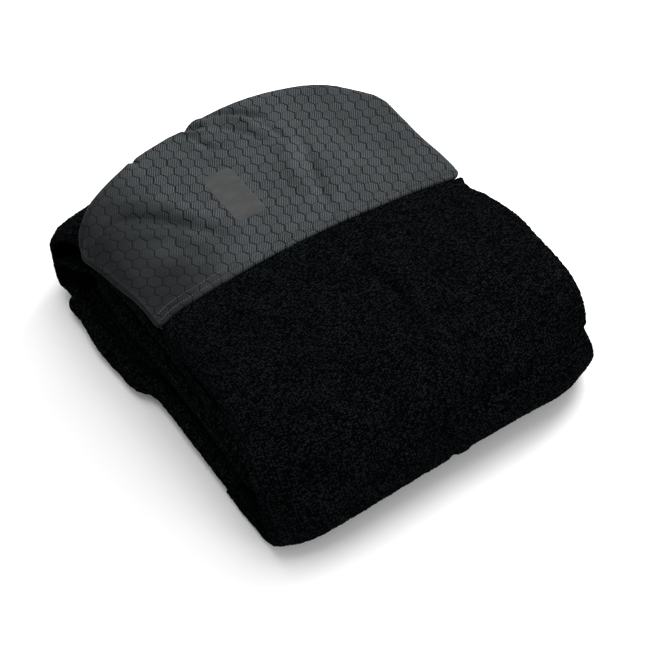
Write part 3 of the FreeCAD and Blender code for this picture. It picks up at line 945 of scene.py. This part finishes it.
def side_fold(name, node, side, x_in, z_top, r, x_low, y0, y1, shift, seed, lift=None, th=7.8, low_y0=None, groove=0.0):
    """Side of the garment folded in: the cloth runs in along the upper leg, turns round at the
    side edge and comes back underneath. side is -1 on the left; shift moves the edge with y."""
    zc = z_top - r
    xe = 183.0 - r
    ang = np.linspace(PI / 2, -PI / 2, 22)
    arc = [(xe + r * math.cos(w), zc + r * math.sin(w)) for w in ang]
    top_leg = [(x_in, z_top)] + [(q, z_top) for q in np.arange(x_in + 20, xe - 6, 20)]
    low_leg = [(q, z_top - 2 * r) for q in np.arange(xe - 12, x_low + 6, -18)] + [(x_low, z_top - 2 * r)]
    p = spline(top_leg + arc + low_leg, 1.0)
    q = np.stack([p[:, 0], p[:, 1]], 1)
    t = np.gradient(q, axis=0)
    t /= np.linalg.norm(t, axis=1)[:, None]
    # into the fold: to the right of the direction, on the side where x is positive
    q = smooth_curve(q + np.stack([t[:, 1], -t[:, 0]], 1) * th / 2, 14)
    ln = float(np.sum(np.linalg.norm(np.diff(q, axis=0), axis=1)))
    q = resample(q, 700)
    g = np.linspace(0, ln, 700)

    def surf(yw, s):
        x, z = np.interp(s, g, q[:, 0]), np.interp(s, g, q[:, 1])
        near = sstep(x_in + 20, xe - 4, x)
        x = x - near * shift(yw)
        if lift is not None:
            z = z + lift(yw) * near
        return side * x, z

    s_turn = float(np.interp(xe, q[:350, 0], g[:350]))
    low = y0 if low_y0 is None else low_y0

    def ylo(s):
        return y0 + (low - y0) * sstep(s_turn - 5, s_turn + 22, s) + 1.5 * vnoise(s, s * 0, 37, seed + 1)

    def yhi(s):
        return y1 - 6 * sstep(s_turn - 40, s_turn, s) + 2.0 * vnoise(s, s * 0, 29, seed + 2)

    def wavy(P, X, S, O):
        near = sstep(110, 165, np.abs(P[..., 0]))
        P[..., 2] += near * (1.5 * vnoise(X, S, 44, seed + 3) + 0.9 * vnoise(X, S, 19, seed + 4))
        P[..., 0] += side * near * (2.4 * vnoise(X, S * 0.6, 39, seed + 5) + 1.5 * vnoise(X, S, 17, seed + 6))
        # the edge stands up as a roll, with a slit behind it and a second one round its side
        edge_x = 183.0 - shift(X)
        upper = sstep(0.0, 2.0, P[..., 2] - (z_top - th - 2.5)) * (np.abs(P[..., 0]) < edge_x - 6)
        P[..., 2] -= upper * 6.5 * bump(np.abs(P[..., 0]), edge_x - 18.5, 4.2) * (0.7 + 0.3 * vnoise(X, X * 0, 33, seed + 12))
        if groove:
            gz = groove + 2.6 * vnoise(X, X * 0, 55, seed + 8)
            P[..., 0] -= side * near * 6.0 * bump(P[..., 2], gz, 2.7) * (0.65 + 0.35 * vnoise(X, X * 0, 40, seed + 9))
        return P

    ob, flat = ply(name, TERRY, surf, ln, int(ln / 1.5), ylo, yhi, lambda s: np.full_like(s, th), 1.8, 4.5, seed,
                   ends=("round", "round"), edge_n=7, warp=wavy, flip=float(-1 if side < 0 else 1), pile_in=0.6, swap=True)
    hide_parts(node)
    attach(ob, "lower_stack")
    return ob


LOBE = lambda y: np.interp(y, [-160, -60, -20, 2, 14, 24, 34, 60, 120, 145, 160], [14, 13.5, 13, 13, 11, 4, 1.5, 0, 0, 2, 9])
MIDL = lambda y: np.interp(y, [-140, -120, -60, 0, 60, 100, 130, 152], [27, 25, 24, 24, 22, 22, 24, 30])
left_low = side_fold("left_side_fold_bottom", "left_side_flap_bottom", -1, 8, 25.6, 12.6, 143, -136, 160, LOBE, 81, low_y0=-121, groove=16.0)
right_low = side_fold("right_side_fold_bottom", "right_side_flap_bottom", 1, 8, 25.4, 12.5, 148, -150, 150,
                      lambda y: np.interp(y, [-160, 0, 100, 155], [11, 12, 13, 17]), 83, low_y0=-121, groove=15.0)
left_mid = side_fold("left_side_fold_middle", "left_side_flap_middle", -1, 128, 52.0, 13.0, 10, -124, 156, MIDL, 85,
                     lift=lambda y: np.interp(y, [-130, -60, 0, 60, 120], [-3, -1, 0.5, 2, 2.5]))
right_mid = side_fold("right_side_fold_middle", "right_side_flap_middle", 1, 130, 52.0, 13.0, 10, -124, 148,
                      lambda y: np.interp(y, [-140, 0, 150], [21, 19, 24]), 87)
flaps = []
for nm, lf, rt, y0, y1, z0, z1, node, sd, wv, bd in (
    ("left_flap_top", [(q[0], q[1]) for q in LEFT_TOP], inner(-7), -150, -78, 74.2, 84.0, "left_side_flap_top", 89, 0.8, "top_section"),
    ("right_flap_top", inner(7), RIGHT_TOP, -150, -78, 74.2, 84.0, "right_side_flap_top", 91, 0.8, "top_section"),
    ("left_sleeve_folded", LEFT_TOP, inner(-12), -75, 1, 74.2, 84.0, "left_sleeve", 93, 1.0, "top_section"),
    ("right_sleeve_folded", inner(12), RIGHT_TOP, -75, 1, 74.2, 84.0, "right_sleeve", 95, 1.0, "top_section"),
):
    ob, W, L = flap(nm, lf, rt, y0, y1, z0, z1, node, sd, wv, bd)
    flaps.append(ob)


# ------------------------------------------------------------------ hood
CX = np.array([-172, -168, -166, -163, -158, -150, -140, -131, -118, -105, -90, -80, -76, -72, -60, -40, -20, 0, 15, 31,
               46, 60, 75, 88, 101, 114, 126, 136, 144, 150, 158, 164, 168, 171, 175.0])
CY = np.array([122, 128, 133.5, 140, 147.5, 155.5, 165.5, 172, 179, 185, 191, 195.2, 194.6, 196.6, 199.5, 203, 206, 209.5,
               211.4, 211.6, 210.8, 209, 206.3, 203, 198.8, 194, 187.8, 181, 173.5, 166, 155, 146.5, 139, 133, 128.0])
HL_V, HL_X = [0, 0.1, 0.3, 0.5, 0.75, 0.9, 1.0], [-157.5, -158.5, -160, -163, -168, -171, -172]
HR_V, HR_X = [0, 0.1, 0.3, 0.5, 0.75, 0.9, 1.0], [169.5, 170.5, 170, 169.5, 169, 170, 170]
HOOD_W, HOOD_L = 331.0, 190.0


def crown(x):
    return np.interp(x, CX, CY) - 3.0 * bump(x, -16, 8) + 1.2 * bump(x, 2, 7)


def hood_xy(U, V):
    u, v = U / HOOD_W, V / HOOD_L
    a, b = np.interp(v, HL_V, HL_X), np.interp(v, HR_V, HR_X)
    x = a + (b - a) * u
    x = x + 0.9 * vnoise(V, U * 0, 46, 201) * (bump(u, 0, 0.03) + bump(u, 1, 0.03))
    y0 = seam(x) + 0.25 + 0.5 * vnoise(x, x * 0, 17, 203) * bump(v, 0, 0.02)
    return x, y0 + (crown(x) - y0) * v


def crease(x, y, pts, depth, width, taper=True):
    """Smooth groove (depth < 0) or ridge along a line, fading at both ends."""
    c = spline(pts, 2.0)
    n = len(c)
    best = np.full(np.shape(x), 1e9)
    at = np.zeros(np.shape(x))
    for i, (px, py) in enumerate(c):
        d = (x - px) ** 2 + (y - py) ** 2
        m = d < best
        best = np.where(m, d, best)
        at = np.where(m, i / (n - 1), at)
    k = np.exp(-best / width ** 2)
    if taper:
        k = k * (0.25 + 0.75 * np.sin(PI * np.clip(at, 0.02, 0.98)) ** 0.6)
    return depth * k


def hood_h(x, y):
    h = 1.15 * vnoise(x, y, 71, 211) + 0.5 * vnoise(x * 0.8 + y * 0.5, y * 0.8 - x * 0.5, 33, 212)
    h = h + 0.22 * vnoise(x, y, 14, 213)
    for pts, d, w in (
        ([(-166, 117), (-154, 127), (-138, 133), (-120, 132), (-105, 125), (-91, 113), (-79, 99), (-68, 84), (-58, 70)], -3.2, 6.0),
        ([(-163, 106), (-148, 112), (-128, 112), (-112, 106), (-98, 96), (-84, 80), (-75, 64), (-69, 49)], 2.0, 8.5),
        ([(-116, 155), (-97, 142), (-83, 131), (-68, 111), (-57, 94)], 1.6, 8.5),
        ([(-14, 206), (-9, 201), (-1, 201), (5, 199)], -3.6, 3.4),
        ([(-20, 202), (-13, 196), (-5, 191), (4, 188)], 2.0, 3.2),
        ([(-13, 186), (-7, 176), (-3, 167), (6, 166)], -2.0, 4.0),
        ([(12, 209), (22, 206), (33, 201), (44, 193), (52, 184), (57, 175)], -2.6, 3.8),
        ([(22, 198), (32, 192), (41, 182), (45, 170)], 1.3, 4.0),
        ([(13, 191), (21, 183), (29, 174), (36, 163), (41, 150)], -1.7, 4.6),
        ([(53, 168), (57, 152), (60, 139)], -1.3, 3.6),
        ([(71, 131), (66, 110), (59, 90), (52, 71), (47, 51), (44, 35)], -1.8, 6.5),
        ([(54, 127), (43, 102), (36, 75)], 1.1, 6.5),
        ([(115, 118), (108, 97), (103, 76)], -0.8, 11),
        ([(-40, 196), (-28, 180), (-20, 160)], -0.9, 7),
        ([(-76, 197), (-74, 188)], -1.6, 3.0),
    ):
        h = h + 1.65 * crease(x, y, pts, d, w)
    # the outer rim sags and its very edge is a seam that lies a little proud
    rim = crown(x) - y
    h = h - 1.6 * bump(rim, 0, 7) + 0.35 * bump(rim, 9, 3.5)
    left = x + 164
    h = h - 6.0 * (1 - sstep(-6, 20, left)) * sstep(30, 75, y)
    lip = np.interp((y - seam(x)) / np.maximum(crown(x) - seam(x), 1), HL_V, HL_X)
    h = h + 0.75 * bump(rim, 2.2, 1.5) + 0.9 * bump(x - lip, 2.4, 1.5)
    # flat where the stitched band is
    band = sstep(seam(x) + 9, seam(x) + 34, y)
    h = h * (0.35 + 0.65 * band)
    edge = y - seam(x)
    h = h - 0.55 * bump(edge, 5.0, 1.5) - 0.45 * bump(edge, 11.3, 1.7) + 0.3 * bump(edge, 8, 2) + 0.25 * bump(edge, 1.6, 1.5) - 1.1 * bump(edge, -1, 5)
    low = -4.3 - 4.5 * (1 - sstep(-174, -152, x)) * sstep(40, 80, y)
    return np.clip(h, low, 2.9)


def hood_uv(x, y):
    wx = 1.3 * vnoise(x, y, 58, 221) + 0.35 * vnoise(x, y, 21, 222)
    wy = 1.3 * vnoise(x, y, 58, 223) + 0.35 * vnoise(x, y, 21, 224)
    return np.stack([x + wx, y + wy], 2)


HOOD_TOP = 103.5


def hood_top(x, y):
    return HOOD_TOP + hood_h(x, y)


def hood_bot(x, y):
    return 98.3 + 0.35 * np.maximum(hood_h(x, y), 0) - 6.0 * (1 - sstep(-174, -152, x)) * sstep(40, 80, y)


def hood_relief(x, y, u, v):
    q = hood_uv(x, y)
    d = hex_field(q[..., 0], q[..., 1])
    return 0.20 * (sstep(0.0, 1.9, d) - 0.7) + 0.07 * vnoise(x, y, 2.3, 231)


hood = slab("hood_outer_sheet", HONEY, HOOD_W, HOOD_L, hood_xy, hood_top, hood_bot, 1.0, r=3.2, corner=11.0, seed=5,
            relief=hood_relief, coarse=2, uv_of=hood_uv)
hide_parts("hood_back_panel", "hood_neck_band")
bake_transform(hood)


def capsule_mesh(name, segs, mat, rad, sides=6, ring=4):
    """Short round-ended threads, one for each (start, end)."""
    verts, quads, tris, uv = [], [], [], []
    for a, b in segs:
        a, b = np.array(a, float), np.array(b, float)
        d = b - a
        ln = np.linalg.norm(d)
        d /= ln
        side = np.cross(d, [0, 0, 1.0])
        side /= np.linalg.norm(side)
        up = np.cross(side, d)
        base = len(verts)
        st = [(-rad * 0.7, 0.0), (-rad * 0.45, 0.62), (0.0, 0.95), (ln * 0.5, 1.1), (ln, 0.95), (ln + rad * 0.45, 0.62), (ln + rad * 0.7, 0.0)]
        rows = []
        for t, k in st:
            if k == 0:
                verts.append(a + d * t)
                uv.append((t, 0))
                rows.append([len(verts) - 1])
                continue
            row = []
            for q in range(sides):
                w = 2 * PI * q / sides
                verts.append(a + d * t + rad * k * (math.cos(w) * side + math.sin(w) * up))
                uv.append((t, w * rad))
                row.append(len(verts) - 1)
            rows.append(row)
        for i in range(len(rows) - 1):
            r0, r1 = rows[i], rows[i + 1]
            for q in range(sides):
                p = (q + 1) % sides
                if len(r0) == 1:
                    tris.append((r0[0], r1[q], r1[p]))
                elif len(r1) == 1:
                    tris.append((r0[q], r1[0], r0[p]))
                else:
                    quads.append((r0[q], r1[q], r1[p], r0[p]))
    return build(name, np.array(verts), np.array(quads), np.array(tris), np.array(uv), mat)


def stitches(off, x0, x1, pitch, length, lift):
    xs = np.linspace(x0, x1, 900)
    ys = seam(xs) + off
    p = np.stack([xs, ys], 1)
    s = np.concatenate([[0], np.cumsum(np.linalg.norm(np.diff(p, axis=0), axis=1))])
    segs = []
    rs = np.random.RandomState(int(off * 10))
    for k in range(int(s[-1] / pitch)):
        a, b = k * pitch + 0.4 * rs.uniform(), k * pitch + length
        q = [np.array([np.interp(t, s, xs), np.interp(t, s, ys)]) for t in (a, b)]
        z = [float(hood_top(np.array([v[0]]), np.array([v[1]]))[0]) + lift for v in q]
        segs.append((np.append(q[0], z[0]), np.append(q[1], z[1])))
    return segs


thread = capsule_mesh("neck_topstitch_threads",
                      stitches(5.0, -152, 165, 3.1, 2.3, 0.12) + stitches(11.3, -151, 164, 3.1, 2.3, 0.12), THREAD, 0.34)
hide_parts("neck_topstitch")
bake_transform(thread)

# blank patch on the crown, following the hood's surface
PATCH_X0, PATCH_Y0, PATCH_W, PATCH_L = -36.0, 71.0, 32.0, 66.0


def patch_xy(U, V):
    return PATCH_X0 + U, PATCH_Y0 + V


def patch_h(x, y):
    return hood_top(x, y) + 0.22 + 0.12 * vnoise(x, y, 9, 241)


patch = slab("blank_patch_sheet", PATCH, PATCH_W, PATCH_L, patch_xy, patch_h, lambda x, y: patch_h(x, y) - 0.8, 1.0,
             r=0.5, corner=6.0, seed=6, coarse=1)
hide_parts("blank_patch")
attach(patch, "hood")


# the hood's lining, and its front underneath
def inner_xy(scale, y0, W, L, xl, xr):
    def f(U, V):
        u, v = U / W, V / L
        x = xl + (xr - xl) * u
        c = 60 + (crown(x / scale) - 60) * scale
        return x, y0 + (c - y0) * v
    return f


lining = slab("hood_lining_sheet", TERRY, 308.0, 150.0, inner_xy(0.965, 56.0, 308.0, 150.0, -150.0, 158.0),
              lambda x, y: 97.6 + 0 * x, lambda x, y: 94.9 + 0 * x, 3.0, r=1.4, corner=10.0, seed=7,
              relief=lambda x, y, u, v: 0.2 * vnoise(x, y, 31, 251) - 0.2, coarse=1,
              relief_bot=lambda x, y, u, v: 0.2 * vnoise(x, y, 27, 252) - 0.1,
              uv_of=lambda x, y: np.stack([x, y], 2))
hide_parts("hood_lining")
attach(lining, "hood")

FR_W, FR_L = 300.0, 108.0
fr = slab("hood_front_sheet", HONEY, FR_W, FR_L, inner_xy(0.955, 93.0, FR_W, FR_L, -149.0, 151.0),
          lambda x, y: 94.3 + 0 * x, lambda x, y: 91.6 + 0 * x, 3.0, r=1.3, corner=10.0, seed=8,
          relief=lambda x, y, u, v: -0.15 + 0.15 * vnoise(x, y, 31, 261), coarse=1,
          relief_bot=lambda x, y, u, v: 0.25 * vnoise(x, y, 23, 262),
          uv_of=lambda x, y: np.stack([x, y], 2))
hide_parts("hood_front_panel")
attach(fr, "hood")


def hem_z(x, y, side):
    k = 1.0 + 0.12 * vnoise(x, y * 0.2, 9, 271)
    return 92.75 + side * 1.75 * k - side * 0.35 * bump(y, 94.0, 1.1)


hem = slab("face_opening_hem_fold", HONEY, 296.0, 14.0, lambda U, V: (-147.0 + U, 82.0 + V),
           lambda x, y: hem_z(x, y, 1), lambda x, y: hem_z(x, y, -1), 1.8, r=1.9, corner=2.5, seed=9, coarse=1,
           uv_of=lambda x, y: np.stack([x, y], 2))
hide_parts("face_opening_hem")
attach(hem, "hood")

# tape over the neck seam allowance, and the care label under it
tape = slab("neck_seam_tape_strip", TAPE, 318.0, 11.0,
            lambda U, V: (-154.0 + U, seam(-154.0 + U) + 2.4 + V),
            lambda x, y: 97.3 + 0.15 * vnoise(x, y, 12, 281), lambda x, y: 94.4 + 0.2 * vnoise(x, y, 15, 282),
            2.0, r=1.2, corner=1.5, seed=10, coarse=1)
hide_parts("neck_seam_tape")
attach(tape, "top_section")

label = slab("care_label_blank", LABEL, 34.0, 14.0, lambda U, V: (-17.0 + U, 24.0 + V),
             lambda x, y: 93.9 + 0 * x, lambda x, y: 93.1 + 0 * x, 1.6, r=0.5, corner=0.9, seed=11, coarse=1)
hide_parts("care_label")
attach(label, "top_section")


scene = bpy.context.scene
floor_mesh = bpy.data.meshes.new("studio_floor")
floor_mesh.from_pydata([(-6, -6, 0), (6, -6, 0), (6, 6, 0), (-6, 6, 0)], [], [(0, 1, 2, 3)])
floor = bpy.data.objects.new("studio_floor", floor_mesh)
floor.location = (0, 0, -0.0012)
scene.collection.objects.link(floor)
floor_mesh.materials.append(floor_material())

world = bpy.data.worlds.new("studio")
scene.world = world
world.use_nodes = True
bg = world.node_tree.nodes["Background"]
bg.inputs[0].default_value = (1.0, 1.0, 1.0, 1)
bg.inputs[1].default_value = 0.56


def area_light(name, loc, aim, size, power, color=(1, 1, 1), size_y=None):
    d = bpy.data.lights.new(name, "AREA")
    d.energy = power
    d.color = color
    d.size = size
    if size_y:
        d.shape = "RECTANGLE"
        d.size_y = size_y
    o = bpy.data.objects.new(name, d)
    o.location = loc
    o.rotation_euler = (Vector(aim) - Vector(loc)).to_track_quat("-Z", "Y").to_euler()
    scene.collection.objects.link(o)
    return o


area_light("key", (0.98, 0.42, 0.72), (0.0, 0.02, 0.07), 0.8, 19.5)
area_light("top", (0.2, 0.6, 2.0), (0.0, 0.0, 0.0), 2.0, 36)
area_light("front", (0.35, -1.7, 0.75), (0.0, -0.1, 0.04), 1.2, 13)

cam = bpy.data.cameras.new("camera")
cam.lens = 86.15
cam.sensor_width = 36.0
cam.clip_start, cam.clip_end = 0.05, 60.0
camera = bpy.data.objects.new("camera", cam)
camera.location = (-0.51676, -0.77368, 1.12872)
camera.rotation_euler = (Vector((-0.01388, -0.03648, 0.050)) - Vector(camera.location)).to_track_quat("-Z", "Y").to_euler()
scene.collection.objects.link(camera)
scene.camera = camera
scene.view_settings.view_transform = "Standard"
